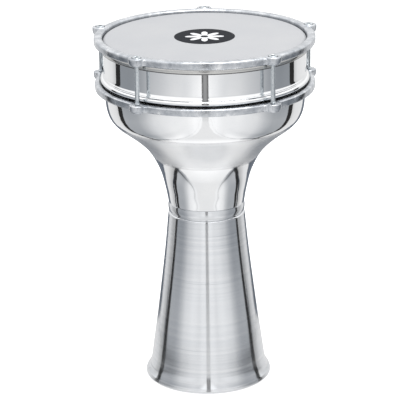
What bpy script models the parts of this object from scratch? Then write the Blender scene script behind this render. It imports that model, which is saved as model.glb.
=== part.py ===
"""Goblet drum (darbuka) with a spun aluminium shell and a screw-tensioned plastic head.

The playing head's top face is the origin, +Z is up along the drum's axis and -Y is the front.
Outlines are written in millimetres as (radius, height), with heights above the foot's flat rim.
"""

import math

import bmesh
import bpy
import numpy as np

MM = 0.001

# The drum as a whole.
HEAD_TOP = 362.5  # height of the playing head above the floor
SHELL_RADIUS = 101.6  # an 8 inch shell
SHELL_WALL = 1.6
GAP = 0.3  # left between pieces that touch
SEGMENTS = 40  # sides of a large round piece, eight to each screw's sector

# Head band, the cylinder that carries the head, with the seam bead at its foot.
BAND_TOP = 361.8
BAND_WALL = 1.2
BEARING_EDGE = 3.0  # radius of the rounded edge that the head lies on
BEAD_RADIUS = 105.4
BEAD_TOP = 324.5
BEAD_FOOT = 318.9
BAND_FLARE = 1.0  # how far the band widens just above the bead

# Bowl: cylinder, round shoulder, cone, throat and the spigot that enters the stem.
LIP_RISE = 4.0  # how far the bowl's lip reaches up inside the band, above the bead
SHOULDER_TOP = 299.0
SHOULDER_ARC = 32.0
SHOULDER_ANGLE = 50.0
THROAT = [(71.7, 260.0), (57.6, 245.0), (47.1, 225.0), (41.7, 205.0)]
NECK_RADIUS = 39.0
NECK_FOOT = 190.2
SPIGOT_RADIUS = 37.6
SPIGOT_FOOT = 166.0

# Waist collar, stem and foot.
COLLAR_TOP = 189.9
COLLAR_FOOT = 180.0
COLLAR_RADIUS = 39.4
COLLAR_EDGE = 38.6
COLLAR_CROWN = [(0.5, 0.65), (0.0, 1.0), (-0.5, 0.65)]  # share of half the height, share of the crown
STEM_TOP = 179.4
STEM = [(39.5, 176.5), (42.6, 145.0), (46.1, 115.0), (51.9, 70.0), (56.9, 34.0), (59.9, 13.0)]
FOOT_RADIUS = 65.5
FOOT_ROLL = 2.0  # radius of the rolled outer edge
RIM_WIDTH = 3.4  # the flat that the drum stands on

# Head: film over the bearing edge, potted in a channel hoop.
FILM = 0.4
SKIRT_FOOT = 354.9
HOOP_TOP = 357.1
HOOP_FOOT = 351.0
HOOP_RADIUS = 105.0
HOOP_WALL = 0.6
HOOP_SLOPE = 1.0  # how far the hoop's outer face leans in at its top
HOOP_INNER_HEIGHT = 4.0

# Tension rings, two of the same casting facing each other.
RING_INNER = 102.6
RING_OUTER = 111.25
RING_HEIGHT = 7.6
RING_EDGE = 1.4
UPPER_RING_FOOT = 357.4
LOWER_RING_FOOT = 310.9
EAR_COUNT = 5
EAR_CIRCLE = 111.5
EAR_RADIUS = 8.2
EAR_FILLET = 5.0
EAR_PROUD = 0.6  # the ears stand out above the ring by this and below it by a third of it

# M5 socket screws and their washers.
SCREW_RADIUS = 2.5
SHANK_RADIUS = 2.3
THREAD_LENGTH = 9.0
SCREW_LENGTH = 50.0
HEAD_RADIUS = 4.25
HEAD_HEIGHT = 5.0
HEX_ACROSS_FLATS = 4.0
HEX_DEPTH = 2.6
SCREW_SEAT = 361.3  # height of the underside of the screw's head
WASHER_RADIUS = 4.5
WASHER_HOLE = 2.75
WASHER_HEIGHT = 1.0
COUNTERBORE = 4.9
CLEARANCE_HOLE = 2.8
TAPPED_HOLE = 2.65
SMALL_SEGMENTS = 12


def clear_scene():
    for obj in list(bpy.data.objects):
        bpy.data.objects.remove(obj, do_unlink=True)


def material(name, color, metallic, roughness):
    made = bpy.data.materials.new(name)
    made.use_nodes = True
    shader = made.node_tree.nodes["Principled BSDF"]
    shader.inputs["Base Color"].default_value = (*color, 1.0)
    shader.inputs["Metallic"].default_value = metallic
    shader.inputs["Roughness"].default_value = roughness
    made.diffuse_color = (*color, 1.0)
    return made


def arc(center, radius, start, end, steps):
    """Points on a circle between two angles in degrees, measured from the outward radial direction."""
    angles = np.radians(np.linspace(start, end, steps + 1))
    return [(center[0] + radius * math.cos(a), center[1] + radius * math.sin(a)) for a in angles]


def smooth_curve(knots, steps):
    """A Catmull-Rom curve through the knots, with this many steps between two of them."""
    knots = np.array(knots, float)
    ends = np.vstack([2 * knots[0] - knots[1], knots, 2 * knots[-1] - knots[-2]])
    points = [tuple(knots[0])]
    for before, a, b, after in zip(ends, ends[1:], ends[2:], ends[3:]):
        for t in np.linspace(0, 1, steps + 1)[1:]:
            bend = (2 * before - 5 * a + 4 * b - after) * t**2 + (3 * a - before - 3 * b + after) * t**3
            points.append(tuple(a + 0.5 * ((b - before) * t + bend)))
    return points


def offset(outline, distance):
    """The outline moved sideways by a distance, to the right of its direction of travel."""
    points = np.array(outline, float)
    along = np.gradient(points, axis=0)
    along /= np.linalg.norm(along, axis=1)[:, None]
    return [tuple(p) for p in points + distance * np.stack([along[:, 1], -along[:, 0]], axis=1)]


def add_object(name, bm, finish, parent, place=(0.0, 0.0, 0.0)):
    """Makes a scaled, smooth-shaded object of a bmesh in millimetres."""
    bmesh.ops.recalc_face_normals(bm, faces=bm.faces)
    bmesh.ops.scale(bm, vec=(MM, MM, MM), verts=bm.verts)
    mesh = bpy.data.meshes.new(name)
    bm.to_mesh(mesh)
    bm.free()
    mesh.shade_smooth()
    mesh.set_sharp_from_angle(angle=math.radians(35))
    obj = bpy.data.objects.new(name, mesh)
    bpy.context.scene.collection.objects.link(obj)
    if finish:
        mesh.materials.append(finish)
    obj.location = tuple(c * MM for c in place)
    obj.parent = parent
    return obj


def spun(outline):
    """A closed outline turned once round the Z axis, starting over +Y."""
    bm = bmesh.new()
    verts = [bm.verts.new((0.0, r, z)) for r, z in outline]
    edges = [bm.edges.new((a, b)) for a, b in zip(verts, verts[1:] + verts[:1])]
    turn = {"cent": (0, 0, 0), "axis": (0, 0, 1), "angle": 2 * math.pi}
    bmesh.ops.spin(bm, geom=verts + edges, steps=SEGMENTS, use_merge=True, **turn)
    return bm


def lathe(rings, segments):
    """Rings of (radius, height), joined one to the next and capped at both ends.

    A radius may be a function of the angle, for a ring that isn't round.
    """
    bm = bmesh.new()
    loops = []
    for radius, height in rings:
        loop = []
        for i in range(segments):
            angle = 2 * math.pi * i / segments
            r = radius(angle) if callable(radius) else radius
            loop.append(bm.verts.new((-r * math.sin(angle), r * math.cos(angle), height)))
        loops.append(loop)
    for below, above in zip(loops, loops[1:]):
        for i in range(segments):
            j = (i + 1) % segments
            bm.faces.new((below[i], below[j], above[j], above[i]))
    bm.faces.new(loops[0])
    bm.faces.new(loops[-1])
    return bm


def prisms(outline, low, high):
    """The outline, drawn round the +Y direction, as an upright prism at each of the screws' places."""
    bm = bmesh.new()
    for i in range(EAR_COUNT):
        turn = 2 * math.pi * i / EAR_COUNT
        c, s = math.cos(turn), math.sin(turn)
        face = bm.faces.new([bm.verts.new((c * x - s * y, s * x + c * y, low)) for x, y in outline])
        lifted = bmesh.ops.extrude_face_region(bm, geom=[face])["geom"]
        raised = [v for v in lifted if isinstance(v, bmesh.types.BMVert)]
        bmesh.ops.translate(bm, vec=(0, 0, high - low), verts=raised)
    return bm


def hexagon(across_flats):
    def radius(angle):
        from_flat = (angle + math.pi / 6) % (math.pi / 3) - math.pi / 6
        return across_flats / 2 / math.cos(from_flat)

    return radius


def bowl_side():
    """Outer side of the bowl below its lip, from the cylinder down to the neck."""
    center = (SHELL_RADIUS - SHOULDER_ARC, SHOULDER_TOP)
    shoulder = arc(center, SHOULDER_ARC, 0, -SHOULDER_ANGLE, 5)
    throat = smooth_curve([shoulder[-1], *THROAT, (NECK_RADIUS, NECK_FOOT)], 1)
    return [(SHELL_RADIUS, BEAD_FOOT - GAP), *shoulder, *throat[1:]]


def make_bowl(finish, parent):
    """The lip at the bowl's top slips inside the band, and the spigot at its neck inside the stem."""
    lip = SHELL_RADIUS - BAND_WALL - GAP
    lip_top = BEAD_TOP + LIP_RISE
    side = bowl_side()
    shoulder = side[0][1]
    inside = offset(side, SHELL_WALL)[1:-1]
    bore = SPIGOT_RADIUS - SHELL_WALL
    outline = [(lip, lip_top), (lip, shoulder), *side]
    outline += [(SPIGOT_RADIUS, NECK_FOOT), (SPIGOT_RADIUS, SPIGOT_FOOT), (bore, SPIGOT_FOOT)]
    outline += [(bore, NECK_FOOT), *inside[::-1]]
    outline += [(lip - SHELL_WALL, shoulder - 2 * SHELL_WALL), (lip - SHELL_WALL, lip_top)]
    return add_object("bowl", spun(outline), finish, parent)


def make_head_band(finish, parent):
    inner = SHELL_RADIUS - BAND_WALL
    edge = (SHELL_RADIUS - BEARING_EDGE, BAND_TOP - BEARING_EDGE)
    bead_mid = (BEAD_TOP + BEAD_FOOT) / 2
    bead_half = (BEAD_TOP - BEAD_FOOT) / 2
    bead = arc((BEAD_RADIUS - bead_half, bead_mid), bead_half, 70, -90, 5)
    outline = [*arc(edge, BEARING_EDGE, 90, 0, 4), (SHELL_RADIUS, BEAD_TOP + 5)]
    outline += [(SHELL_RADIUS + BAND_FLARE, BEAD_TOP + 1.5), *bead]
    outline += [(inner, BEAD_FOOT), (inner, edge[1]), (edge[0], BAND_TOP - BAND_WALL)]
    return add_object("head_band", spun(outline), finish, parent)


def make_collar(finish, parent):
    inner = SPIGOT_RADIUS + GAP
    middle = (COLLAR_TOP + COLLAR_FOOT) / 2
    half = (COLLAR_TOP - COLLAR_FOOT) / 2
    crown = COLLAR_RADIUS - COLLAR_EDGE
    outline = [(inner, COLLAR_TOP), (COLLAR_EDGE, COLLAR_TOP)]
    outline += [(COLLAR_EDGE + share * crown, middle + half * up) for up, share in COLLAR_CROWN]
    outline += [(COLLAR_EDGE, COLLAR_FOOT), (inner, COLLAR_FOOT)]
    return add_object("waist_collar", spun(outline), finish, parent)


def stem_side():
    """Outer side of the stem, from its rounded top edge down to the floor."""
    roll = (FOOT_RADIUS - FOOT_ROLL, FOOT_ROLL)
    flare = arc((STEM[-1][0] + 6.6, STEM[-1][1] - 1.4), 6.6, 190, 236, 2)
    rolled = arc(roll, FOOT_ROLL, 60, -90, 4)
    return [(STEM[0][0] - 0.7, STEM_TOP), *STEM, *flare, *rolled]


def make_stem(finish, parent):
    side = stem_side()
    wall = [p for p in side if p[1] >= STEM[-1][1]]
    inside = offset(wall, SHELL_WALL)[1:]
    rim_inner = side[-1][0] - RIM_WIDTH
    outline = [*side, (rim_inner, 0.0), (rim_inner, FOOT_ROLL), *inside[::-1]]
    return add_object("stem", spun(outline + [(SPIGOT_RADIUS + GAP, STEM_TOP)]), finish, parent)


def make_head_film(finish, parent):
    """Flat film that turns down round the bearing edge and flares into the hoop's channel."""
    edge = (SHELL_RADIUS - BEARING_EDGE, BAND_TOP - BEARING_EDGE)
    under = BEARING_EDGE + GAP
    over = HEAD_TOP - edge[1]
    film = over - under
    skirt = [(0.0, 357.7), (0.8, 356.5), (0.8, SKIRT_FOOT)]
    inner = [*arc(edge, under, 90, 0, 4), *[(edge[0] + under + out, z) for out, z in skirt]]
    outer = [*arc(edge, over, 90, 0, 4), *[(edge[0] + under + film + out, z) for out, z in skirt]]
    return add_object("head_film", lathe(inner + outer[::-1], SEGMENTS), finish, parent)


def make_head_hoop(finish, parent):
    """Channel that holds the film's edge, open at the top, with a sloping outer face."""
    inner = SHELL_RADIUS + GAP
    inner_top = HOOP_FOOT + HOOP_INNER_HEIGHT
    lip = HOOP_RADIUS - HOOP_SLOPE
    floor = HOOP_FOOT + HOOP_WALL
    outline = [(lip - HOOP_WALL, HOOP_TOP), (lip, HOOP_TOP), (HOOP_RADIUS - 0.2, HOOP_TOP - 1.6)]
    outline += [(HOOP_RADIUS, HOOP_TOP - 3.2), (HOOP_RADIUS - 0.3, HOOP_FOOT + 1)]
    outline += [(HOOP_RADIUS - 1.3, HOOP_FOOT), (inner, HOOP_FOOT), (inner, inner_top)]
    outline += [(inner + HOOP_WALL, inner_top), (inner + HOOP_WALL, floor), (lip - 0.2, floor)]
    return add_object("head_hoop", spun(outline), finish, parent)


def make_hoop_resin(finish, parent):
    inner = SHELL_RADIUS + GAP + HOOP_WALL + GAP
    outer = HOOP_RADIUS - HOOP_SLOPE - HOOP_WALL - GAP
    low = HOOP_FOOT + HOOP_WALL + GAP
    high = SKIRT_FOOT - GAP
    outline = [(inner, low), (outer, low), (outer, high), (inner, high)]
    return add_object("hoop_resin", spun(outline), finish, parent)


def ear_outline():
    """Half-round ear with fillets that run tangent into the ring's outer face."""
    reach = RING_OUTER + EAR_FILLET
    near = EAR_RADIUS + EAR_FILLET
    y = (reach**2 - near**2 + EAR_CIRCLE**2) / (2 * EAR_CIRCLE)
    x = math.sqrt(reach**2 - y**2)
    to_ring = math.degrees(math.atan2(-y, -x)) + 360
    to_ear = math.degrees(math.atan2(EAR_CIRCLE - y, -x)) + 360
    fillet = arc((x, y), EAR_FILLET, to_ring, to_ear, 3)
    side = math.degrees(math.atan2(y - EAR_CIRCLE, x))
    boss = arc((0, EAR_CIRCLE), EAR_RADIUS, side, 180 - side, 10)
    root = (fillet[0][0], RING_OUTER - 4)
    half = [root, *fillet]
    return half + boss[1:-1] + [(-px, py) for px, py in half[::-1]]


def make_ring(name, finish, parent, foot, turned_over, bores):
    """Cast ring with an ear for each screw. The turned-over ring's ears stand out downwards."""
    low, high = foot, foot + RING_HEIGHT
    edge = RING_EDGE
    outline = []
    for center, start in (
        ((RING_OUTER - edge, high - edge), 90),
        ((RING_OUTER - edge, low + edge), 0),
        ((RING_INNER + edge, low + edge), -90),
        ((RING_INNER + edge, high - edge), -180),
    ):
        outline += arc(center, edge, start, start - 90, 2)
    ring = add_object(name, spun(outline), finish, parent)
    small, large = EAR_PROUD / 3, EAR_PROUD
    below, above = (large, small) if turned_over else (small, large)
    ears = add_object(name + "_ears", prisms(ear_outline(), low - below, high + above), None, parent)
    cutter = add_object(name + "_bores", stacked_bores(bores), None, parent)
    for helper, operation in ((ears, "UNION"), (cutter, "DIFFERENCE")):
        helper.hide_render = True
        helper.display_type = "WIRE"
        boolean = ring.modifiers.new(operation.title(), "BOOLEAN")
        boolean.operation = operation
        boolean.solver = "EXACT"
        boolean.object = helper
    return ring


def stacked_bores(steps):
    """Upright round bores at every screw's place. Each step is (radius, low, high)."""
    bm = bmesh.new()
    for i in range(EAR_COUNT):
        x, y = screw_place(i)
        rings = []
        for radius, low, high in steps:
            rings += [(radius, low), (radius, high)]
        bore = lathe(rings, SMALL_SEGMENTS)
        bmesh.ops.translate(bore, vec=(x, y, 0), verts=bore.verts)
        scratch = bpy.data.meshes.new("scratch")
        bore.to_mesh(scratch)
        bore.free()
        bm.from_mesh(scratch)
        bpy.data.meshes.remove(scratch)
    return bm


def screw_place(index):
    angle = 2 * math.pi * index / EAR_COUNT
    return -EAR_CIRCLE * math.sin(angle), EAR_CIRCLE * math.cos(angle)


def make_upper_ring(finish, parent):
    washer_seat = SCREW_SEAT - GAP - WASHER_HEIGHT - GAP
    low = UPPER_RING_FOOT - 5
    high = UPPER_RING_FOOT + RING_HEIGHT + 5
    bores = [(CLEARANCE_HOLE, low, washer_seat), (COUNTERBORE, washer_seat, high)]
    return make_ring("upper_ring", finish, parent, UPPER_RING_FOOT, False, bores)


def make_lower_ring(finish, parent):
    bores = [(TAPPED_HOLE, LOWER_RING_FOOT - 5, LOWER_RING_FOOT + RING_HEIGHT + 5)]
    return make_ring("lower_ring", finish, parent, LOWER_RING_FOOT, True, bores)


def make_screw(name, finish, parent, place):
    """Socket screw, with its origin on its own axis at the underside of the head."""
    chamfer = 0.5
    socket = hexagon(HEX_ACROSS_FLATS)
    rings = [
        (SCREW_RADIUS - chamfer, -SCREW_LENGTH),
        (SCREW_RADIUS, chamfer - SCREW_LENGTH),
        (SCREW_RADIUS, THREAD_LENGTH - SCREW_LENGTH),
        (SHANK_RADIUS, THREAD_LENGTH + chamfer - SCREW_LENGTH),
        (SHANK_RADIUS, 0.0),
        (HEAD_RADIUS, 0.0),
        (HEAD_RADIUS, HEAD_HEIGHT - chamfer),
        (HEAD_RADIUS - chamfer, HEAD_HEIGHT),
        (socket, HEAD_HEIGHT),
        (socket, HEAD_HEIGHT - HEX_DEPTH),
    ]
    return add_object(name, lathe(rings, SMALL_SEGMENTS), finish, parent, (*place, SCREW_SEAT))


def make_washer(name, finish, parent, place):
    outside = [(WASHER_RADIUS, 0.0), (WASHER_RADIUS, WASHER_HEIGHT)]
    inside = [(WASHER_HOLE, WASHER_HEIGHT), (WASHER_HOLE, 0.0)]
    bm = lathe(outside + inside, SMALL_SEGMENTS)
    caps = [f for f in bm.faces if len(f.verts) == SMALL_SEGMENTS]
    loops = [e for face in caps for e in face.edges]
    bmesh.ops.delete(bm, geom=caps, context="FACES_ONLY")
    bmesh.ops.bridge_loops(bm, edges=loops)
    return add_object(name, bm, finish, parent, (*place, SCREW_SEAT - GAP - WASHER_HEIGHT))


def main():
    clear_scene()
    floor = bpy.data.objects.new("floor_frame", None)
    bpy.context.scene.collection.objects.link(floor)
    floor.location = (0.0, 0.0, -HEAD_TOP * MM)

    polished = material("polished_aluminium", (0.86, 0.87, 0.88), 1.0, 0.08)
    brushed = material("brushed_aluminium", (0.80, 0.81, 0.82), 1.0, 0.28)
    cast = material("cast_aluminium", (0.62, 0.64, 0.67), 1.0, 0.38)
    channel = material("channel_aluminium", (0.80, 0.80, 0.79), 1.0, 0.25)
    steel = material("plated_steel", (0.74, 0.76, 0.78), 1.0, 0.18)
    film = material("head_film", (0.70, 0.71, 0.72), 0.0, 0.35)
    resin = material("hoop_resin", (0.78, 0.74, 0.62), 0.0, 0.5)

    make_bowl(polished, floor)
    make_head_band(polished, floor)
    make_collar(brushed, floor)
    make_stem(brushed, floor)
    make_head_film(film, floor)
    make_head_hoop(channel, floor)
    make_hoop_resin(resin, floor)
    make_upper_ring(cast, floor)
    make_lower_ring(cast, floor)
    for i in range(EAR_COUNT):
        make_screw(f"tension_screw_{i + 1}", steel, floor, screw_place(i))
        make_washer(f"screw_washer_{i + 1}", steel, floor, screw_place(i))


main()
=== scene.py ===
"""Looks of the goblet drum: spun shell, cast rings, threaded screws and printed head, in a tent of paper."""

import math

import bmesh
import bpy
import numpy as np
from mathutils import Matrix, Vector


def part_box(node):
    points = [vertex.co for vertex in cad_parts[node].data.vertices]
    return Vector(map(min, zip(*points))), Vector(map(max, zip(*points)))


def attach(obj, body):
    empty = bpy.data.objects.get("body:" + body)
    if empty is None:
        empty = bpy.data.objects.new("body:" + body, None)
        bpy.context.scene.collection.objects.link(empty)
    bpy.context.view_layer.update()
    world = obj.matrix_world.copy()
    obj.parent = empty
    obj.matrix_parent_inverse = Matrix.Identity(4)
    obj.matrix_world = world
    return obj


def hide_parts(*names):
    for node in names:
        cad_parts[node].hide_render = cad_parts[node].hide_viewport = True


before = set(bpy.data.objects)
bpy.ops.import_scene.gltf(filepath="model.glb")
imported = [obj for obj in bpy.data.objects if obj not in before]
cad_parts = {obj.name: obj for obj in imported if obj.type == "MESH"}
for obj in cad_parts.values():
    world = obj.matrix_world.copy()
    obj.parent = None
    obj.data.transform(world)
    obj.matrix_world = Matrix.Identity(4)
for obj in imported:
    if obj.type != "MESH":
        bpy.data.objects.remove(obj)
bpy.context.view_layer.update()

MM = 0.001
SCREW_COUNT = 5


def low(node):
    """Height of a CAD node's lowest point, in millimetres."""
    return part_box(node)[0].z / MM


def high(node):
    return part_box(node)[1].z / MM


def radius(node):
    """Outer radius of a round CAD node, in millimetres. One of its corners lies on the +Y axis."""
    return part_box(node)[1].y / MM


# Sizes read from the frame. Heights are in millimetres, with the playing head's top face at 0.
FLOOR = low("stem")
BAND_TOP = high("head_band")
BEAD_FOOT = low("head_band")
BEAD_RADIUS = radius("head_band")
LIP_TOP = high("bowl")
SPIGOT_FOOT = low("bowl")
SHELL_RADIUS = radius("bowl")
COLLAR_TOP = high("waist_collar")
COLLAR_FOOT = low("waist_collar")
COLLAR_RADIUS = radius("waist_collar")
STEM_TOP = high("stem")
FOOT_RADIUS = radius("stem")
SKIRT_FOOT = low("head_film")
HOOP_TOP = high("head_hoop")
HOOP_FOOT = low("head_hoop")
HOOP_RADIUS = radius("head_hoop")
SCREW_TOP = high("tension_screw_1")
SCREW_FOOT = low("tension_screw_1")
WASHER_TOP = high("screw_washer_1")
WASHER_FOOT = low("screw_washer_1")
WASHER_RADIUS = (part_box("screw_washer_1")[1].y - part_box("screw_washer_1")[0].y) / MM / 2

# Sizes that the frame's boxes don't give, as in the CAD.
GAP = 0.3
SHELL_WALL = 1.6
BAND_WALL = 1.2
BEARING_EDGE = 3.0
BEAD_TOP = BEAD_FOOT + 5.6
SHOULDER_TOP = FLOOR + 299.0
SHOULDER_ARC = 32.0
SHOULDER_START = 32.0
SHOULDER_ANGLE = 50.0
NECK_RADIUS = 39.0
NECK_FOOT = COLLAR_TOP + GAP
SPIGOT_RADIUS = 37.6
FOOT_ROLL = 2.0
RIM_WIDTH = 3.4
COLLAR_EDGE = 38.6
FILM = 0.4
HOOP_WALL = 0.6
HOOP_SLOPE = 1.0
HOOP_INNER_HEIGHT = 4.0
RING_INNER = 102.6
RING_OUTER = 111.25
RING_EDGE = 2.0
EAR_CIRCLE = 111.5
EAR_RADIUS = 8.2
EAR_FILLET = 5.0
EAR_PROUD = 0.6
EAR_EDGE = 1.3
WING_EDGE = 1.8
BOSS_FOOT = 4.8
BOSS_TUCK = 5.0
SCREW_RADIUS = 2.5
SHANK_RADIUS = 2.3
THREAD_LENGTH = 9.0
THREAD_PITCH = 0.8
HEAD_RADIUS = 4.25
HEAD_HEIGHT = 5.0
HEX_ACROSS_FLATS = 4.0
HEX_DEPTH = 2.6
WASHER_HOLE = 2.75
COUNTERBORE = 4.9
CLEARANCE_HOLE = 2.8
TAPPED_HOLE = 2.65

# Knots of the spun outlines: radius, and height above the floor.
WALL_KNOTS = [(102.04, 314.0), (102.2, 310.2), (102.12, 308.0), (101.86, 305.0), (101.3, 300.0)]
WALL_KNOTS += [(100.79, 296.0), (100.12, 292.0), (99.44, 289.0), (98.54, 286.0), (97.53, 283.5)]
THROAT_KNOTS = [(71.7, 260.0), (57.6, 245.0), (47.1, 225.0), (41.7, 205.0)]
STEM_KNOTS = [(39.5, 176.5), (42.6, 145.0), (46.1, 115.0), (51.9, 70.0), (56.9, 34.0), (59.1, 18.5)]
FLARE_KNOTS = [(59.8, 14.8), (60.8, 11.6), (62.1, 8.9), (63.5, 6.5), (64.7, 4.6)]

# How finely the visible pieces are cut.
SPIN_STEPS = 360
SMALL_STEPS = 48
BOSS_STEPS = 64

# How far each screw's socket is turned, in degrees, as a hand with a key leaves them.
SOCKET_TURNS = [12.0, 37.0, 5.0, 22.0, 48.0]

# Printed label, and the satin belt of the bowl: its edges are shares of a span that starts above the floor.
LABEL_RADIUS = 30.6
ROSETTE_PETALS = 8
BELT_BASE = 190.0
BELT_SPAN = 130.0
SATIN_BELT = (0.377, 0.690)

# Colours, as (level of the noise, colour) where they vary.
POLISHED_METAL = [(0.3, (0.87, 0.88, 0.895)), (0.7, (0.93, 0.935, 0.94))]
BRUSHED_METAL = [(0.3, (0.68, 0.70, 0.73)), (0.7, (0.81, 0.82, 0.835))]
CAST_METAL = [(0.32, (0.40, 0.425, 0.46)), (0.60, (0.64, 0.66, 0.69)), (0.74, (0.88, 0.89, 0.90))]
CHANNEL_METAL = [(0.3, (0.56, 0.56, 0.55)), (0.7, (0.64, 0.635, 0.625))]
PLATED_METAL = [(0.3, (0.50, 0.54, 0.57)), (0.7, (0.68, 0.71, 0.73))]
BELT_LINE = (0.42, 0.42, 0.44)
TURNED_SCORE = (0.40, 0.42, 0.46)
# Painted shade, near black, for the bead's tuck, the rings' faces towards the shell and the hoop's lower
# edge.
PAINTED_BEAD_SHADE = (0.07, 0.075, 0.08)
PAINTED_RING_SHADE = (0.09, 0.10, 0.11)
PAINTED_HOOP_SHADE = (0.13, 0.13, 0.13)
RESIN = [(0.3, (0.70, 0.66, 0.52)), (0.7, (0.80, 0.77, 0.66))]
FILM_WHITE = [(0.3, (0.395, 0.402, 0.418)), (0.7, (0.42, 0.425, 0.436))]
LABEL_BLACK = (0.010, 0.012, 0.016)
LABEL_WHITE = (0.68, 0.69, 0.71)

# Camera: metres, degrees and millimetres of lens. The aim is above the floor.
CAMERA_DISTANCE = 2.0873
CAMERA_ELEVATION = 19.041
CAMERA_AIM = 0.18916
CAMERA_LENS = 182.443
CAMERA_ROLL = -0.691
CAMERA_PAN = 0.182

# Room: brightness of its lower part by azimuth from the front in degrees, and of the parts above and below.
FLOOR_SIZE = 3.0
FLOOR_GLOW = 0.35
ROOM_LIGHT = [(0, 0.88), (95, 0.88), (108, 0.46), (117, 0.54), (129, 0.80), (150, 0.86), (180, 0.78)]
DOWN_LIGHT = 1.10
SKY_LIGHT = 1.06
ZENITH_LIGHT = 1.35
SOFTBOX_POWER = 12.0
SOFTBOX_SIZE = 1.2
SOFTBOX_PLACE = Vector((0.25, -0.3, 1.5))
SOFTBOX_AIM = Vector((0.0, 0.0, -0.2))

# Plan of the tent, in metres, with the drum's axis at the origin and the camera towards -Y. The two boards
# stand in a V. The plan gives the right-hand side, and the left is its mirror image.
BOARD_NEAR = (0.188, 0.022)
BOARD_FAR = (0.048, -0.80)
BOARD_TOP = 0.345
BOARD_DIP = 0.09
BOARD_NEAR_DIP = 0.02
BOARD_EDGE = -0.006
BOARD_LEAN = 0.045
CORNER_Y = 0.030
CORNER_REACH = 0.046
SLIT_HALF = 0.052
SLIT_TOP = 3.0
SLIT_BEHIND = 0.02
SHEET_PLAN = [(0.112, 0.150), (0.205, 0.160), (0.560, 0.900), (0.105, 0.900)]
# Painted shadow: thin dark strips on the floor beside and behind each board.
SHADOW_STRIP_PLANS = [
    [(0.170, -0.012), (0.182, 0.010), (0.207, 0.031), (0.278, 0.070), (0.460, 0.168)]
    + [(0.460, 0.132), (0.286, 0.044), (0.216, 0.010), (0.196, -0.005), (0.180, -0.020)],
    [(0.184, 0.030), (0.182, 0.070), (0.179, 0.120), (0.176, 0.180), (0.172, 0.245)]
    + [(0.180, 0.245), (0.184, 0.180), (0.187, 0.120), (0.190, 0.070), (0.193, 0.030)],
]
SHADOW_STRIP_FACES = [(i, i + 1, 8 - i, 9 - i) for i in range(4)]
SHEET_HEIGHT = 0.001
SHADOW_STRIP_HEIGHT = 0.0015

# Brightness of the tent's paper and cloth, and of the dark card and the painted floor shadow. The boards'
# falls from the slit towards the drum, by distance ahead of the axis, and beside the drum it is lifted by
# height, where 0.5 leaves it as it is.
BOARD_STRENGTH = 1.08
BOARD_AHEAD = 0.8
BOARD_LIGHT = [
    (0.0, 0.28), (0.059, 0.26), (0.080, 0.27), (0.111, 0.36), (0.143, 0.50), (0.187, 0.60), (0.234, 0.71),
    (0.303, 0.80), (0.368, 0.88), (0.49, 0.98), (0.8, 0.98),
]
BOARD_LIFT = [(0.0, 0.70), (0.03, 0.86), (0.07, 0.84), (0.10, 0.70), (0.14, 0.62), (0.18, 0.70)]
BOARD_LIFT += [(0.24, 0.84), (0.29, 0.64), (0.345, 0.60)]
BOARD_FADE = [(0.5, 1.0), (0.75, 0.85), (1.0, 0.80)]
BOARD_DARK = 0.025
FOOT_WIDTH = [(0.0, 0.007), (0.2, 0.004), (0.5, 0.003), (1.0, 0.002)]
FOOT_SHADE = [(0.0, 0.97), (0.15, 0.7), (0.30, 0.35), (1.0, 0.22)]
PAPER_TINT = [(0.0, (0.0, 0.0, 0.0)), (0.28, (0.262, 0.28, 0.302)), (0.55, (0.54, 0.55, 0.565))]
PAPER_TINT += [(1.0, (1.0, 1.0, 1.0))]
SLIT_LIGHT = [(0.0, 0.36), (0.45, 0.30), (0.7, 0.14), (1.0, 0.12)]
SLIT_VEIL = [(0.12, 0.90), (0.28, 0.42), (0.6, 0.36), (0.9, 0.0)]
VEIL_LIGHT = 0.84
# Colours of the dark card behind the boards and of the painted floor shadow.
DARK_CARD_AND_SHADOW = [(0.3, (0.11, 0.125, 0.155)), (0.7, (0.195, 0.22, 0.255))]
SHADOW_STRIP_STRENGTH = 0.3


# ---------------------------------------------------------------- outlines


def arc(center, size, start, end, steps):
    """Points on a circle between two angles in degrees, measured from the outward radial direction."""
    angles = np.radians(np.linspace(start, end, steps + 1))
    return [(center[0] + size * math.cos(a), center[1] + size * math.sin(a)) for a in angles]


def smooth_curve(knots, steps):
    """A Catmull-Rom curve through the knots, with this many steps between two of them."""
    knots = np.array(knots, float)
    ends = np.vstack([2 * knots[0] - knots[1], knots, 2 * knots[-1] - knots[-2]])
    points = [tuple(knots[0])]
    for before, a, b, after in zip(ends, ends[1:], ends[2:], ends[3:]):
        for t in np.linspace(0, 1, steps + 1)[1:]:
            bend = (2 * before - 5 * a + 4 * b - after) * t**2 + (3 * a - before - 3 * b + after) * t**3
            points.append(tuple(a + 0.5 * ((b - before) * t + bend)))
    return points


def offset(outline, distance):
    """The outline moved sideways by a distance, to the right of its direction of travel."""
    points = np.array(outline, float)
    along = np.gradient(points, axis=0)
    along /= np.linalg.norm(along, axis=1)[:, None]
    return [tuple(p) for p in points + distance * np.stack([along[:, 1], -along[:, 0]], axis=1)]


def above_floor(points):
    """Points whose heights are given above the floor."""
    return [(r, z + FLOOR) for r, z in points]


# ---------------------------------------------------------------- meshes


def add_piece(name, bm, finish, sharp=32.0):
    """Makes a smooth-shaded object, in metres, of a bmesh in millimetres."""
    bmesh.ops.recalc_face_normals(bm, faces=bm.faces)
    bmesh.ops.scale(bm, vec=(MM, MM, MM), verts=bm.verts)
    mesh = bpy.data.meshes.new(name)
    bm.to_mesh(mesh)
    bm.free()
    mesh.shade_smooth()
    mesh.set_sharp_from_angle(angle=math.radians(sharp))
    if finish:
        mesh.materials.append(finish)
    obj = bpy.data.objects.new(name, mesh)
    bpy.context.scene.collection.objects.link(obj)
    return obj


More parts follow.
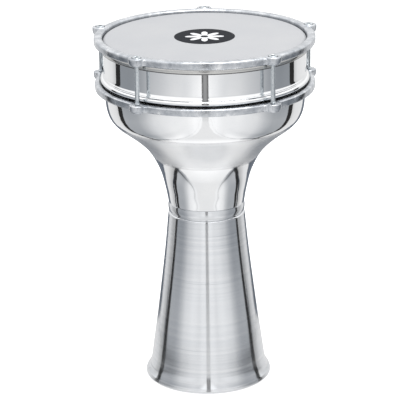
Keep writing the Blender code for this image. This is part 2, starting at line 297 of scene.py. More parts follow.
def spun(outline, steps=SPIN_STEPS):
    """A closed outline turned once round the Z axis."""
    bm = bmesh.new()
    verts = [bm.verts.new((0.0, r, z)) for r, z in outline]
    edges = [bm.edges.new((a, b)) for a, b in zip(verts, verts[1:] + verts[:1])]
    turn = {"cent": (0, 0, 0), "axis": (0, 0, 1), "angle": 2 * math.pi}
    bmesh.ops.spin(bm, geom=verts + edges, steps=steps, use_merge=True, **turn)
    return bm


def lathe(rings, steps):
    """Rings of (radius, height) joined one to the next and capped. A radius may be a function of angle."""
    bm = bmesh.new()
    loops = []
    for size, height in rings:
        loop = []
        for i in range(steps):
            angle = 2 * math.pi * i / steps
            r = size(angle) if callable(size) else size
            loop.append(bm.verts.new((-r * math.sin(angle), r * math.cos(angle), height)))
        loops.append(loop)
    for below, above in zip(loops, loops[1:]):
        for i in range(steps):
            j = (i + 1) % steps
            bm.faces.new((below[i], below[j], above[j], above[i]))
    bm.faces.new(loops[0])
    bm.faces.new(loops[-1])
    return bm


def prism(outline, bottom, top, edge, steps):
    """An upright prism with rounded upper and lower edges."""
    bm = bmesh.new()
    face = bm.faces.new([bm.verts.new((x, y, bottom)) for x, y in outline])
    lifted = bmesh.ops.extrude_face_region(bm, geom=[face])["geom"]
    raised = [v for v in lifted if isinstance(v, bmesh.types.BMVert)]
    bmesh.ops.translate(bm, vec=(0, 0, top - bottom), verts=raised)
    bmesh.ops.recalc_face_normals(bm, faces=bm.faces)
    flat = [e for e in bm.edges if abs(e.verts[0].co.z - e.verts[1].co.z) < 1e-6]
    bmesh.ops.bevel(bm, geom=flat, offset=edge, segments=steps, profile=0.5, affect="EDGES")
    return bm


def merged(parts):
    """One bmesh of several, each turned to its screw's place round the Z axis."""
    whole = bmesh.new()
    for part, turn in parts:
        bmesh.ops.rotate(part, cent=(0, 0, 0), matrix=Matrix.Rotation(turn, 3, "Z"), verts=part.verts)
        scratch = bpy.data.meshes.new("scratch")
        part.to_mesh(scratch)
        part.free()
        whole.from_mesh(scratch)
        bpy.data.meshes.remove(scratch)
    return whole


def boolean(obj, bm, operation):
    """Joins or cuts obj with a bmesh in millimetres, and keeps the result as its mesh."""
    other = add_piece(obj.name + "_tool", bm, None)
    modifier = obj.modifiers.new(operation.title(), "BOOLEAN")
    modifier.operation = operation
    modifier.solver = "EXACT"
    modifier.object = other
    bpy.context.view_layer.update()
    result = bpy.data.meshes.new_from_object(obj.evaluated_get(bpy.context.evaluated_depsgraph_get()))
    obj.modifiers.clear()
    old, obj.data = obj.data, result
    bpy.data.meshes.remove(old)
    bpy.data.objects.remove(other)


def stand_in(piece, node, body):
    """The piece takes a CAD node's place and body: it is joined to the body, and the node is hidden."""
    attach(piece, body)
    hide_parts(node)
    return piece


def screw_turns():
    """Angle round the drum's axis of each tension screw, from the centre of its CAD node's box."""
    turns = []
    for i in range(SCREW_COUNT):
        lower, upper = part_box(f"tension_screw_{i + 1}")
        middle = (lower + upper) / 2
        turns.append(math.atan2(-middle.x, middle.y))
    return turns


# ---------------------------------------------------------------- materials


class Nodes:
    """Short ways to add and join shader nodes in one material or world."""

    def __init__(self, owner):
        owner.use_nodes = True
        self.tree = owner.node_tree
        self.shader = self.tree.nodes.get("Principled BSDF")

    def add(self, kind, inputs=None, **settings):
        node = self.tree.nodes.new(kind)
        for key, value in settings.items():
            setattr(node, key, value)
        for key, value in (inputs or {}).items():
            if isinstance(value, bpy.types.NodeSocket):
                self.tree.links.new(value, node.inputs[key])
            else:
                node.inputs[key].default_value = value
        return node

    def output(self, kind, socket):
        """Joins a shader to the material's or world's output."""
        self.tree.links.new(socket, self.tree.nodes[kind].inputs[0])

    def math(self, operation, *values, clamp=False):
        inputs = dict(enumerate(values))
        return self.add("ShaderNodeMath", inputs, operation=operation, use_clamp=clamp).outputs[0]

    def fade(self, value, start, length):
        """0 at the start and 1 past the length, which may be negative."""
        return self.math("DIVIDE", self.math("SUBTRACT", value, start), length, clamp=True)

    def mix(self, factor, a, b):
        inputs = {0: factor, 6: self.colour(a), 7: self.colour(b)}
        return self.add("ShaderNodeMix", inputs, data_type="RGBA").outputs[2]

    @staticmethod
    def colour(value):
        if isinstance(value, bpy.types.NodeSocket):
            return value
        return (*value, 1.0) if isinstance(value, tuple) else (value, value, value, 1.0)

    def ramp(self, factor, stops, span=1.0):
        """Stops are (position, value) or (position, colour), with positions out of the span."""
        node = self.add("ShaderNodeValToRGB", {"Fac": factor})
        elements = node.color_ramp.elements
        while len(elements) < len(stops):
            elements.new(0.5)
        for element, (position, value) in zip(elements, stops):
            element.position = position / span
            element.color = self.colour(value)
        return node.outputs["Color"]

    def place(self):
        """Object coordinates, in metres. All but the screws and washers are made where they stand."""
        return self.add("ShaderNodeTexCoord").outputs["Object"]

    def split(self, vector):
        return self.add("ShaderNodeSeparateXYZ", {0: vector}).outputs

    def reach(self, split):
        """Distance from the drum's axis."""
        across = self.math("MULTIPLY", split[1], split[1])
        return self.math("SQRT", self.math("MULTIPLY_ADD", split[0], split[0], across))

    def stretched(self, scale):
        return self.add("ShaderNodeMapping", {"Vector": self.place(), "Scale": scale}).outputs[0]

    def turned(self, across, along, detail=3.0, roughness=0.5):
        """Noise drawn out into lines round the drum's axis."""
        return self.noise(self.stretched((across, across, along)), 1.0, detail, roughness)

    def noise(self, vector, scale, detail=3.0, roughness=0.5):
        values = {"Vector": vector, "Scale": scale, "Detail": detail, "Roughness": roughness}
        return self.add("ShaderNodeTexNoise", values).outputs["Fac"]

    def bump(self, height, strength, distance):
        values = {"Height": height, "Strength": strength, "Distance": distance}
        return self.add("ShaderNodeBump", values).outputs["Normal"]

    def tangent(self):
        """Direction round the drum's axis."""
        return self.add("ShaderNodeTangent", direction_type="RADIAL", axis="Z").outputs[0]

    def set(self, **values):
        for key, value in values.items():
            socket = self.shader.inputs[key.replace("_", " ")]
            if isinstance(value, bpy.types.NodeSocket):
                self.tree.links.new(value, socket)
            else:
                socket.default_value = value


def new_material(name):
    material = bpy.data.materials.new(name)
    return material, Nodes(material)


def polished_aluminium():
    """Band's finish: mirror-polished, with faint turning rings, and painted shade, near black, in the tuck of
    its bead.
    """
    material, n = new_material("polished_aluminium")
    # Painted shade: the tuck under the bead is darkened towards near black.
    tuck = n.fade(n.split(n.place())[2], (BEAD_FOOT + 1.5) * MM, -0.6 * MM)
    rings = n.turned(4.0, 700.0, detail=4.0)
    haze = n.noise(n.place(), 40.0, detail=5.0)
    n.set(
        Base_Color=n.mix(tuck, n.ramp(haze, POLISHED_METAL), PAINTED_BEAD_SHADE),
        Metallic=1.0,
        Roughness=n.ramp(rings, [(0.3, 0.03), (0.75, 0.07)]),
        Normal=n.bump(rings, 0.04, 0.0001),
    )
    return material


def spun_aluminium():
    """Bowl's finish: polished shoulder and neck, and between them a satin belt with a line at each edge."""
    material, n = new_material("spun_aluminium")
    place = n.place()
    span = n.fade(n.split(place)[2], (FLOOR + BELT_BASE) * MM, BELT_SPAN * MM)
    lower, upper = SATIN_BELT
    belt_edges = [(lower - 0.008, 0.0), (lower + 0.02, 1.0), (upper - 0.012, 1.0), (upper + 0.004, 0.0)]
    belt = n.ramp(span, belt_edges)
    lines = [(lower - 0.012, 0.0), (lower, 0.6), (lower + 0.012, 0.0)]
    lines += [(upper - 0.012, 0.0), (upper - 0.002, 1.0), (upper + 0.008, 0.0)]
    line = n.math("MULTIPLY", n.ramp(span, lines), 0.45)
    fine = n.turned(2.0, 2200.0, detail=4.0, roughness=0.7)
    haze = n.noise(place, 40.0, detail=5.0)
    polish = n.ramp(fine, [(0.3, 0.03), (0.75, 0.08)])
    satin = n.ramp(fine, [(0.3, 0.26), (0.7, 0.40)])
    n.set(
        Base_Color=n.mix(line, n.ramp(haze, POLISHED_METAL), BELT_LINE),
        Metallic=1.0,
        Roughness=n.mix(belt, polish, satin),
        Anisotropic=0.85,
        Anisotropic_Rotation=0.25,
        Tangent=n.tangent(),
        Normal=n.bump(fine, 0.06, 0.0001),
    )
    return material


def brushed_aluminium():
    """Satin turned surface: fine lines round the axis, a few deeper ones, and crisp upright reflections."""
    material, n = new_material("brushed_aluminium")
    fine = n.turned(2.0, 2600.0, roughness=0.7)
    broad = n.turned(1.5, 260.0, detail=6.0, roughness=0.6)
    scores = n.ramp(n.turned(5.0, 420.0, detail=1.0), [(0.70, 0.0), (0.74, 1.0)])
    lines = n.math("MULTIPLY_ADD", fine, 0.5, n.math("MULTIPLY", broad, 0.5))
    n.set(
        Base_Color=n.mix(n.math("MULTIPLY", scores, 0.35), n.ramp(broad, BRUSHED_METAL), TURNED_SCORE),
        Metallic=1.0,
        Roughness=n.ramp(lines, [(0.3, 0.10), (0.7, 0.20)]),
        Anisotropic=0.95,
        Anisotropic_Rotation=0.25,
        Tangent=n.tangent(),
        Normal=n.bump(lines, 0.10, 0.0001),
    )
    return material


def cast_aluminium():
    """Tumbled casting: mottled and dented, brighter on its worn spots, with painted shade where it faces the
    shell.
    """
    material, n = new_material("cast_aluminium")
    place = n.place()
    split = n.split(place)
    at_bead = n.math("LESS_THAN", split[2], (BEAD_TOP + BEAD_FOOT) / 2 * MM)
    wider = (BEAD_RADIUS - RING_INNER + 0.9) * MM
    limit = n.math("MULTIPLY_ADD", at_bead, wider, (RING_INNER + 0.5) * MM)
    inside = n.fade(n.reach(split), limit, -0.5 * MM)
    # Painted shade: the upper ring's inner wall is darkened a little, and the lower ring's face beside the
    # bead fully.
    painted_shade = n.math("MULTIPLY", inside, n.math("MULTIPLY_ADD", at_bead, 0.7, 0.3))
    blotch = n.noise(place, 110.0, detail=4.0, roughness=0.6)
    grain = n.noise(place, 520.0)
    dents = n.math("MULTIPLY_ADD", grain, 0.2, blotch)
    n.set(
        Base_Color=n.mix(painted_shade, n.ramp(blotch, CAST_METAL), PAINTED_RING_SHADE),
        Metallic=1.0,
        Roughness=n.ramp(blotch, [(0.3, 0.16), (0.7, 0.30)]),
        Normal=n.bump(dents, 0.32, 0.0006),
    )
    return material


def channel_aluminium():
    """Rolled strip of the head's hoop, with painted shade in the tuck of its lower edge."""
    material, n = new_material("channel_aluminium")
    # Painted shade: the hoop's lowest 1.3 mm is darkened.
    roll = n.math("LESS_THAN", n.split(n.place())[2], (HOOP_FOOT + 1.3) * MM)
    lines = n.turned(3.0, 1200.0)
    n.set(
        Base_Color=n.mix(roll, n.ramp(lines, CHANNEL_METAL), PAINTED_HOOP_SHADE),
        Metallic=1.0,
        Roughness=n.ramp(lines, [(0.3, 0.16), (0.7, 0.26)]),
        Normal=n.bump(lines, 0.15, 0.0001),
    )
    return material


def plated_steel():
    """Bright plating of the screws and washers."""
    material, n = new_material("plated_steel")
    spots = n.noise(n.place(), 500.0)
    n.set(
        Base_Color=n.ramp(spots, PLATED_METAL),
        Metallic=1.0,
        Roughness=n.ramp(spots, [(0.3, 0.10), (0.7, 0.22)]),
        Normal=n.bump(spots, 0.12, 0.0001),
    )
    return material


def hoop_resin():
    """Cloudy cast resin that pots the film's edge."""
    material, n = new_material("hoop_resin")
    cloud = n.noise(n.place(), 150.0)
    n.set(Base_Color=n.ramp(cloud, RESIN), Roughness=n.ramp(cloud, [(0.3, 0.35), (0.7, 0.55)]))
    return material


def head_film():
    """White polyester with a printed black disc that carries a plain rosette."""
    material, n = new_material("head_film")
    place = n.place()
    split = n.split(place)
    share = n.math("DIVIDE", n.reach(split), LABEL_RADIUS * MM)
    angle = n.math("ARCTAN2", split[1], split[0])
    petal = n.math("ABSOLUTE", n.math("COSINE", n.math("MULTIPLY", angle, ROSETTE_PETALS / 2)))
    rosette = n.math("LESS_THAN", share, n.math("MULTIPLY_ADD", petal, 0.48, 0.16))
    mark = n.math("SUBTRACT", rosette, n.math("LESS_THAN", share, 0.13))
    on_top = n.math("GREATER_THAN", split[2], -FILM * MM / 2)
    label = n.math("MULTIPLY", n.math("LESS_THAN", share, 1.0), on_top)
    white = n.ramp(n.noise(place, 18.0, detail=4.0), FILM_WHITE)
    grain = n.noise(place, 1500.0, detail=2.0)
    n.set(
        Base_Color=n.mix(label, white, n.mix(mark, LABEL_BLACK, LABEL_WHITE)),
        Roughness=n.ramp(grain, [(0.3, 0.42), (0.7, 0.52)]),
        Specular_IOR_Level=0.03,
        Normal=n.bump(grain, 0.05, 0.0001),
    )
    return material


# ---------------------------------------------------------------- the shell


def make_bowl(finish):
    """Spun bowl with its lip inside the band and its spigot inside the stem."""
    center = (SHELL_RADIUS - SHOULDER_ARC, SHOULDER_TOP)
    shoulder = arc(center, SHOULDER_ARC, -SHOULDER_START, -SHOULDER_ANGLE, 14)
    wall = smooth_curve([*above_floor(WALL_KNOTS), shoulder[0]], 6)
    throat = smooth_curve([shoulder[-1], *above_floor(THROAT_KNOTS), (NECK_RADIUS, NECK_FOOT)], 8)
    side = [(SHELL_RADIUS, BEAD_FOOT - GAP), *wall, *shoulder[1:], *throat[1:]]
    inside = offset(side, SHELL_WALL)[1:-1]
    lip = SHELL_RADIUS - BAND_WALL - GAP
    joggle = side[0][1]
    bore = SPIGOT_RADIUS - SHELL_WALL
    outline = [(lip, LIP_TOP), (lip, joggle), *side]
    outline += [(SPIGOT_RADIUS, NECK_FOOT), (SPIGOT_RADIUS, SPIGOT_FOOT), (bore, SPIGOT_FOOT)]
    outline += [(bore, NECK_FOOT), *inside[::-1]]
    outline += [(lip - SHELL_WALL, joggle - 2 * SHELL_WALL), (lip - SHELL_WALL, LIP_TOP)]
    piece = add_piece("spun_bowl", spun(outline), finish)
    return stand_in(piece, "bowl", "shell")


def make_head_band(finish):
    """Band with its rounded bearing edge, and the flare, crease and bead of the seam at its foot."""
    inner = SHELL_RADIUS - BAND_WALL
    edge = (SHELL_RADIUS - BEARING_EDGE, BAND_TOP - BEARING_EDGE)
    half = (BEAD_TOP - BEAD_FOOT) / 2
    bead_center = (BEAD_RADIUS - half, BEAD_FOOT + half)
    flare_size = 5.0
    flare_start = BEAD_TOP + 4.6
    flare = arc((SHELL_RADIUS + flare_size, flare_start), flare_size, 180, 218, 8)
    crease = [(flare[-1][0] + 0.12, flare[-1][1] - 0.4), (flare[-1][0] - 0.1, flare[-1][1] - 0.75)]
    outline = [*arc(edge, BEARING_EDGE, 90, 0, 10), *flare, *crease]
    outline += [*arc(bead_center, half, 82, -90, 20), (inner, BEAD_FOOT), (inner, edge[1])]
    outline += [(edge[0], BAND_TOP - BAND_WALL)]
    piece = add_piece("polished_head_band", spun(outline), finish, sharp=40)
    return stand_in(piece, "head_band", "shell")


def make_collar(finish):
    """Rolled collar with a soft crown between two grooves."""
    inner = SPIGOT_RADIUS + GAP
    middle = (COLLAR_TOP + COLLAR_FOOT) / 2
    half = (COLLAR_TOP - COLLAR_FOOT) / 2
    crown = COLLAR_RADIUS - COLLAR_EDGE
    ups = np.linspace(0.93, -0.93, 19)
    outline = [(inner, COLLAR_TOP), (COLLAR_EDGE - 0.6, COLLAR_TOP)]
    outline += [(COLLAR_EDGE + crown * (1 - up * up), middle + half * up) for up in ups]
    outline += [(COLLAR_EDGE - 0.6, COLLAR_FOOT), (inner, COLLAR_FOOT)]
    piece = add_piece("rolled_collar", spun(outline), finish, sharp=50)
    return stand_in(piece, "waist_collar", "shell")


def make_stem(finish):
    """Tapering stem with a rounded top edge, a flared foot and a rolled rim."""
    taper = smooth_curve(above_floor(STEM_KNOTS), 8)
    roll = (FOOT_RADIUS - FOOT_ROLL, FLOOR + FOOT_ROLL)
    rolled = arc(roll, FOOT_ROLL, 35, -90, 12)
    flare = smooth_curve([taper[-1], *above_floor(FLARE_KNOTS), rolled[0]], 4)[1:-1]
    edge = STEM_TOP - taper[0][1]
    shoulder = arc((taper[0][0] - edge, taper[0][1]), edge, 88, 10, 8)
    side = [*shoulder, *taper, *flare, *rolled]
    inside = offset(taper, SHELL_WALL)
    rim = side[-1][0] - RIM_WIDTH
    outline = [*side, (rim, FLOOR), (rim, FLOOR + FOOT_ROLL), *inside[::-1]]
    outline += [(SPIGOT_RADIUS + GAP, shoulder[0][1])]
    piece = add_piece("turned_stem", spun(outline), finish, sharp=40)
    return stand_in(piece, "stem", "shell")


# ---------------------------------------------------------------- the head


def make_head_film(finish):
    """Film stretched over the bearing edge, with its printed label, turned down into the hoop."""
    edge = (SHELL_RADIUS - BEARING_EDGE, BAND_TOP - BEARING_EDGE)
    under = BEARING_EDGE + GAP
    over = under + FILM
    skirt = [(0.0, FLOOR + 357.7), (0.35, FLOOR + 357.2), (0.8, FLOOR + 356.5), (0.8, SKIRT_FOOT)]
    inner = [*arc(edge, under, 90, 0, 12), *[(edge[0] + under + out, z) for out, z in skirt]]
    outer = [*arc(edge, over, 90, 0, 12), *[(edge[0] + over + out, z) for out, z in skirt]]
    piece = add_piece("playing_head", lathe(inner + outer[::-1], SPIN_STEPS), finish)
    return stand_in(piece, "head_film", "shell")


def make_head_hoop(finish):
    """Channel hoop with a rounded, sloping outer face."""
    inner = SHELL_RADIUS + GAP
    inner_top = HOOP_FOOT + HOOP_INNER_HEIGHT
    lip = HOOP_RADIUS - HOOP_SLOPE
    floor = HOOP_FOOT + HOOP_WALL
    face = smooth_curve(
        [(lip, HOOP_TOP), (HOOP_RADIUS - 0.25, HOOP_TOP - 1.5), (HOOP_RADIUS, HOOP_TOP - 3.2)]
        + [(HOOP_RADIUS - 0.35, HOOP_FOOT + 1), (HOOP_RADIUS - 1.3, HOOP_FOOT)],
        5,
    )
    outline = [(lip - HOOP_WALL, HOOP_TOP), *face, (inner, HOOP_FOOT), (inner, inner_top)]
    outline += [(inner + HOOP_WALL, inner_top), (inner + HOOP_WALL, floor), (lip - 0.2, floor)]
    piece = add_piece("channel_hoop", spun(outline), finish)
    return stand_in(piece, "head_hoop", "shell")


# ---------------------------------------------------------------- rings, screws and washers


def ear_wings():
    """Plan of the fillets that run from the ring's outer face, tangent to it, onto the ear's boss."""
    reach = RING_OUTER + EAR_FILLET
    near = EAR_RADIUS + EAR_FILLET
    y = (reach**2 - near**2 + EAR_CIRCLE**2) / (2 * EAR_CIRCLE)
    x = math.sqrt(reach**2 - y**2)
    to_ring = math.degrees(math.atan2(-y, -x)) + 360
    to_ear = math.degrees(math.atan2(EAR_CIRCLE - y, -x)) + 360
    fillet = arc((x, y), EAR_FILLET, to_ring, to_ear, 10)
    half = [(fillet[0][0] + 0.3, RING_OUTER - 5), (fillet[0][0] + 0.3, fillet[0][1] - 0.3), *fillet]
    half += [(0.75 * half[-1][0], half[-1][1] - 0.4)]
    return half + [(-px, py) for px, py in half[::-1]]


def boss_rings(bottom, top):
    """Round boss of an ear: softened above, and drawn in below like the end of an egg."""
    rings = []
    for a in np.radians(np.linspace(90, 0, 10)):
        share = math.cos(a) ** 0.8
        rings.append((BOSS_FOOT + (EAR_RADIUS - BOSS_FOOT) * share, bottom + BOSS_TUCK * (1 - math.sin(a))))
    rings += arc((EAR_RADIUS - EAR_EDGE, top - EAR_EDGE), EAR_EDGE, 0, 90, 6)
    return rings


def make_ring(name, node, body, finish, bores, below, above):
    """Cast ring with a filleted round ear at each screw, bored for the screws."""
    bottom = low(node) + below
    top = high(node) - above
    edge = RING_EDGE
    outline = []
    for center, start in (
        ((RING_OUTER - edge, top - edge), 90),
        ((RING_OUTER - edge, bottom + edge), 0),
        ((RING_INNER + edge, bottom + edge), -90),
        ((RING_INNER + edge, top - edge), -180),
    ):
        outline += arc(center, edge, start, start - 90, 5)
    ring = add_piece(name, spun(outline), finish)
    turns = screw_turns()
    wings = [(prism(ear_wings(), bottom + 0.4, top - 0.4, WING_EDGE, 4), turn) for turn in turns]
    bosses = []
    for turn in turns:
        boss = lathe(boss_rings(low(node), high(node)), BOSS_STEPS)
        bmesh.ops.translate(boss, vec=(0, EAR_CIRCLE, 0), verts=boss.verts)
        bosses.append((boss, turn))
    boolean(ring, merged(wings), "UNION")
    boolean(ring, merged(bosses), "UNION")
    cutters = []
    for turn in turns:
        bore = lathe(bores, SMALL_STEPS)
        bmesh.ops.translate(bore, vec=(0, EAR_CIRCLE, 0), verts=bore.verts)
        cutters.append((bore, turn))
    boolean(ring, merged(cutters), "DIFFERENCE")
    ring.data.shade_smooth()
    ring.data.set_sharp_from_angle(angle=math.radians(32))
    return stand_in(ring, node, body)


def make_upper_ring(finish):
    """Upper casting, with clearance holes and counterbores for the screws' heads."""
    seat = WASHER_FOOT - GAP
    bottom, top = low("upper_ring"), high("upper_ring")
    bores = [(CLEARANCE_HOLE, bottom - 2), (CLEARANCE_HOLE, seat), (COUNTERBORE, seat)]
    bores += [(COUNTERBORE, top - 0.35), (COUNTERBORE + 0.7, top + 0.35)]
    return make_ring("cast_upper_ring", "upper_ring", "upper_ring", finish, bores, EAR_PROUD / 3, EAR_PROUD)


def make_lower_ring(finish):
    """Lower casting, with holes countersunk at both ends."""
    bottom, top = low("lower_ring"), high("lower_ring")
    flare = TAPPED_HOLE + 0.7
    bores = [(flare, bottom - 0.4), (TAPPED_HOLE, bottom + 0.3), (TAPPED_HOLE, top - 0.3), (flare, top + 0.4)]
    return make_ring("cast_lower_ring", "lower_ring", "shell", finish, bores, EAR_PROUD, EAR_PROUD / 3)


def hexagon(across_flats):
    """Radius of a hexagon as a function of angle."""

    def size(angle):
        from_flat = (angle + math.pi / 6) % (math.pi / 3) - math.pi / 6
        return across_flats / 2 / math.cos(from_flat)

    return size


def thread(height):
    """Radius of a right-hand thread at one height, as a function of angle."""

    def size(angle):
        phase = (height / THREAD_PITCH - angle / (2 * math.pi)) % 1.0
        depth = min(max(abs(2 * phase - 1) * 1.25 - 0.12, 0.0), 1.0)
        return SCREW_RADIUS - 0.46 * depth

    return size


def shared_mesh(name, bm, finish):
    """A finished mesh without its object, for the pieces that share it."""
    piece = add_piece(name, bm, finish)
    mesh = piece.data
    bpy.data.objects.remove(piece)
    return mesh


def screw_mesh(finish):
    """Socket screw: chamfered point, cut thread, plain shank, rounded head and hexagon socket."""
    seat = SCREW_TOP - HEAD_HEIGHT
    rings = [(SCREW_RADIUS - 0.75, SCREW_FOOT), (SCREW_RADIUS - 0.5, SCREW_FOOT + 0.3)]
    for z in np.arange(SCREW_FOOT + 0.5, SCREW_FOOT + THREAD_LENGTH, THREAD_PITCH / 8):
        rings.append((thread(z), z))
    rings += [(SHANK_RADIUS, SCREW_FOOT + THREAD_LENGTH + 0.4), (SHANK_RADIUS, seat - 0.3)]
    rings += [(SHANK_RADIUS + 0.3, seat), (HEAD_RADIUS - 0.15, seat), (HEAD_RADIUS, seat + 0.15)]
    rings += arc((HEAD_RADIUS - 0.6, SCREW_TOP - 0.6), 0.6, 0, 90, 5)
    rings += [(hexagon(HEX_ACROSS_FLATS + 0.5), SCREW_TOP), (hexagon(HEX_ACROSS_FLATS), SCREW_TOP - 0.25)]
    rings += [(hexagon(HEX_ACROSS_FLATS), SCREW_TOP - HEX_DEPTH), (0.4, SCREW_TOP - HEX_DEPTH - 0.7)]
    return shared_mesh("socket_screw", lathe(rings, SMALL_STEPS), finish)


def washer_mesh(finish):
    """Flat washer with its outer edges broken."""
    flat = WASHER_RADIUS - 0.15
    outline = [(WASHER_HOLE, WASHER_FOOT), (flat, WASHER_FOOT), (WASHER_RADIUS, WASHER_FOOT + 0.15)]
    outline += [(WASHER_RADIUS, WASHER_TOP - 0.15), (flat, WASHER_TOP), (WASHER_HOLE, WASHER_TOP)]
    return shared_mesh("washer", spun(outline, SMALL_STEPS), finish)


def make_screws_and_washers(finish):
    """The five screws and their washers, each set turned to its ear."""
    screw, washer = screw_mesh(finish), washer_mesh(finish)
    for i, turn in enumerate(screw_turns()):
        place = Matrix.Rotation(turn, 4, "Z") @ Matrix.Translation((0, EAR_CIRCLE * MM, 0))
        place = place @ Matrix.Rotation(math.radians(SOCKET_TURNS[i]), 4, "Z")
        for name, mesh, node, body in (
            (f"socket_screw_{i + 1}", screw, f"tension_screw_{i + 1}", f"screw_{i + 1}"),
            (f"washer_{i + 1}", washer, f"screw_washer_{i + 1}", "upper_ring"),
        ):
            obj = bpy.data.objects.new(name, mesh)
            bpy.context.scene.collection.objects.link(obj)
            obj.matrix_world = place
            stand_in(obj, node, body)


# ---------------------------------------------------------------- studio


def make_camera():
    """A long lens that looks down a little at the drum's front."""
    tilt = math.radians(CAMERA_ELEVATION)
    back = Vector((0, -math.cos(tilt), math.sin(tilt)))
    place = Vector((0, 0, FLOOR * MM + CAMERA_AIM)) + CAMERA_DISTANCE * back
    right = Vector((1, 0, 0))
    basis = Matrix((right, back.cross(right), back)).transposed()
    pan = Matrix.Rotation(math.radians(CAMERA_PAN), 3, "Y")
    roll = Matrix.Rotation(math.radians(CAMERA_ROLL), 3, "Z")
    data = bpy.data.cameras.new("camera")
    data.sensor_width = 36.0
    data.lens = CAMERA_LENS
    camera = bpy.data.objects.new("camera", data)
    bpy.context.scene.collection.objects.link(camera)
    camera.matrix_world = Matrix.Translation(place) @ (basis @ (pan @ roll)).to_4x4()
    bpy.context.scene.camera = camera


def make_floor():
    """Pale paper on which the drum stands. It is clear from below, so the foot's rim can be looked at."""
    bm = bmesh.new()
    bmesh.ops.create_circle(bm, cap_ends=True, segments=128, radius=FLOOR_SIZE)
    mesh = bpy.data.meshes.new("floor")
    bm.to_mesh(mesh)
    bm.free()
    material, n = new_material("floor_paper")
    n.set(Base_Color=(0.92, 0.92, 0.92, 1.0), Roughness=0.9)
    n.set(Emission_Color=(1.0, 1.0, 1.0, 1.0), Emission_Strength=FLOOR_GLOW)
    back = n.add("ShaderNodeNewGeometry").outputs["Backfacing"]
    clear = n.add("ShaderNodeBsdfTransparent").outputs[0]
    seen = n.add("ShaderNodeMixShader", {0: back, 1: n.shader.outputs[0], 2: clear}).outputs[0]
    n.output("Material Output", seen)
    mesh.materials.append(material)
    floor = bpy.data.objects.new("floor", mesh)
    bpy.context.scene.collection.objects.link(floor)
    floor.location.z = FLOOR * MM - 0.0002
    floor.visible_glossy = False


def stage_card(name, corners, faces, material):
    """A glowing card on or above the floor. The metal mirrors it, but the camera looks past it."""
    mesh = bpy.data.meshes.new(name)
    mesh.from_pydata(corners, [], faces)
    mesh.materials.append(material)
    card = bpy.data.objects.new(name, mesh)
    bpy.context.scene.collection.objects.link(card)
    card.location.z = FLOOR * MM
    card.visible_camera = False
    card.visible_shadow = False
    card.visible_diffuse = False


def upright_card(name, start, end, start_foot, end_foot, top, lean, material):
    """A card between two points of the floor plan. The lean moves its start forward, as a share of height."""
    (ax, ay), (bx, by) = start, end
    corners = [(ax, ay, start_foot), (bx, by, end_foot), (bx, by, top), (ax, ay - lean * top, top)]
    stage_card(name, corners, [(0, 1, 2, 3)], material)


def glow(name):
    """Nodes of an emission material, with the card's own coordinates."""
    material, n = new_material(name)
    n.tree.nodes.remove(n.shader)
    n.shader = n.add("ShaderNodeEmission")
    n.output("Material Output", n.shader.outputs[0])
    return material, n, n.split(n.place())


def board_paper():
    """White board: brightest near the slit, greyer beside the drum, with a dark edge, corner and foot."""
    material, n, split = glow("board_paper")
    ahead = n.math("DIVIDE", n.math("MULTIPLY", split[1], -1.0), BOARD_AHEAD, clamp=True)
    along = n.ramp(ahead, BOARD_LIGHT, BOARD_AHEAD)
    up = n.math("DIVIDE", split[2], BOARD_TOP, clamp=True)
    lift = n.math("SUBTRACT", n.ramp(up, BOARD_LIFT, BOARD_TOP), 0.5)
    beside = n.ramp(ahead, [(0.15, 1.0), (0.45, 0.0)])
    lifted = n.math("MULTIPLY_ADD", lift, beside, 0.5)
    share = n.math("MULTIPLY", n.math("MULTIPLY", along, lifted), 2.0)
    share = n.math("MULTIPLY", share, n.ramp(up, BOARD_FADE))
    leaning = n.math("MULTIPLY_ADD", split[2], BOARD_LEAN, split[1])
    edge = n.math("GREATER_THAN", leaning, BOARD_EDGE)
    corner_y = n.math("SUBTRACT", split[1], CORNER_Y)
    height_squared = n.math("MULTIPLY", split[2], split[2])
    reach = n.math("SQRT", n.math("MULTIPLY_ADD", corner_y, corner_y, height_squared))
    corner = n.math("LESS_THAN", reach, CORNER_REACH)
    foot = n.math("COMPARE", split[2], 0.0, n.ramp(ahead, FOOT_WIDTH))
    foot = n.math("MULTIPLY", foot, n.ramp(ahead, FOOT_SHADE))
    dark = n.math("MAXIMUM", n.math("MAXIMUM", edge, corner), foot)
    n.set(Color=n.mix(dark, n.ramp(share, PAPER_TINT), BOARD_DARK), Strength=BOARD_STRENGTH)
    return material


def slit_cloth():
    """Grey cloth behind the slit, darker at its two edges and veiled with paler cloth towards the floor."""
    material, n, split = glow("slit_cloth")
    aside = n.math("DIVIDE", n.math("ABSOLUTE", split[0]), SLIT_HALF, clamp=True)
    veil = n.ramp(n.fade(split[2], -0.02, 0.10), SLIT_VEIL)
    n.set(Color=n.mix(veil, n.ramp(aside, SLIT_LIGHT), VEIL_LIGHT), Strength=1.0)
    return material


def dark_card_and_shadow(name, strength):
    """Dark card on the floor behind the boards, and painted shadow in thin strips beside and behind them, a
    little uneven.
    """
    material, n, _ = glow(name)
    n.set(Color=n.ramp(n.noise(n.place(), 6.0), DARK_CARD_AND_SHADOW), Strength=strength)
    return material


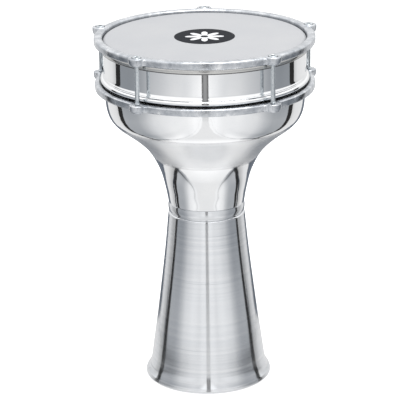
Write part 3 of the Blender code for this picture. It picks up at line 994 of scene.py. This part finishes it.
def make_tent():
    """Two white boards in a V before the drum, a slit between them for the lens, a dark card behind them and
    strips of painted floor shadow.
    """
    paper = board_paper()
    # The second of these cards is painted floor shadow.
    sheet, seam = dark_card_and_shadow("dark_sheet", 1.0), dark_card_and_shadow("painted_floor_shadow", SHADOW_STRIP_STRENGTH)
    for side, word in ((-1, "left"), (1, "right")):
        near, far = (side * BOARD_NEAR[0], BOARD_NEAR[1]), (side * BOARD_FAR[0], BOARD_FAR[1])
        feet = -BOARD_NEAR_DIP, -BOARD_DIP
        upright_card(f"board_{word}", near, far, *feet, BOARD_TOP, BOARD_LEAN, paper)
        corners = [(side * x, y, SHEET_HEIGHT) for x, y in SHEET_PLAN]
        stage_card(f"sheet_{word}", corners, [(0, 1, 2, 3)], sheet)
        # Strips of painted shadow on the floor.
        for number, plan in enumerate(SHADOW_STRIP_PLANS, 1):
            corners = [(side * x, y, SHADOW_STRIP_HEIGHT) for x, y in plan]
            stage_card(f"seam_{word}_{number}", corners, SHADOW_STRIP_FACES, seam)
    behind = BOARD_FAR[1] - SLIT_BEHIND
    left, right = (-SLIT_HALF, behind), (SLIT_HALF, behind)
    upright_card("slit", left, right, -BOARD_DIP, -BOARD_DIP, SLIT_TOP, BOARD_LEAN, slit_cloth())


def make_world():
    """Soft light from all round: bright above, dimmer behind the boards, and white for the camera."""
    world = bpy.data.worlds.new("soft_room")
    bpy.context.scene.world = world
    n = Nodes(world)
    split = n.split(n.add("ShaderNodeTexCoord").outputs["Generated"])
    front = n.math("MULTIPLY", split[1], -1.0)
    azimuth = n.math("DEGREES", n.math("ABSOLUTE", n.math("ARCTAN2", split[0], front)))
    elevation = n.math("DEGREES", n.math("ARCSINE", split[2]))
    room = n.ramp(n.math("DIVIDE", azimuth, 180.0), ROOM_LIGHT, 180.0)
    room = n.mix(n.fade(elevation, -55.0, -20.0), room, DOWN_LIGHT)
    room = n.mix(n.fade(elevation, 3.0, 10.0), room, SKY_LIGHT)
    room = n.mix(n.fade(elevation, 26.0, 14.0), room, ZENITH_LIGHT)
    seen = n.add("ShaderNodeLightPath").outputs["Is Camera Ray"]
    n.output("Background", n.mix(seen, room, 1.0))


def make_light():
    """One wide round softbox overhead."""
    data = bpy.data.lights.new("top_softbox", "AREA")
    data.shape = "DISK"
    data.size = SOFTBOX_SIZE
    data.energy = SOFTBOX_POWER
    light = bpy.data.objects.new("top_softbox", data)
    bpy.context.scene.collection.objects.link(light)
    light.location = SOFTBOX_PLACE
    light.rotation_euler = (SOFTBOX_PLACE - SOFTBOX_AIM).to_track_quat("Z", "Y").to_euler()
    light.visible_camera = False


# ---------------------------------------------------------------- assembly

bpy.context.scene.view_settings.view_transform = "Standard"
polished = polished_aluminium()
brushed = brushed_aluminium()
cast = cast_aluminium()
make_camera()
make_bowl(spun_aluminium())
make_head_band(polished)
make_collar(brushed)
make_stem(brushed)
make_head_film(head_film())
make_head_hoop(channel_aluminium())
make_upper_ring(cast)
make_lower_ring(cast)
make_screws_and_washers(plated_steel())

# The resin hides in the hoop's channel, so its CAD solid is shown as it is.
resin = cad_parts["hoop_resin"]
resin.data.materials.clear()
resin.data.materials.append(hoop_resin())

make_floor()
make_tent()
make_world()
make_light()
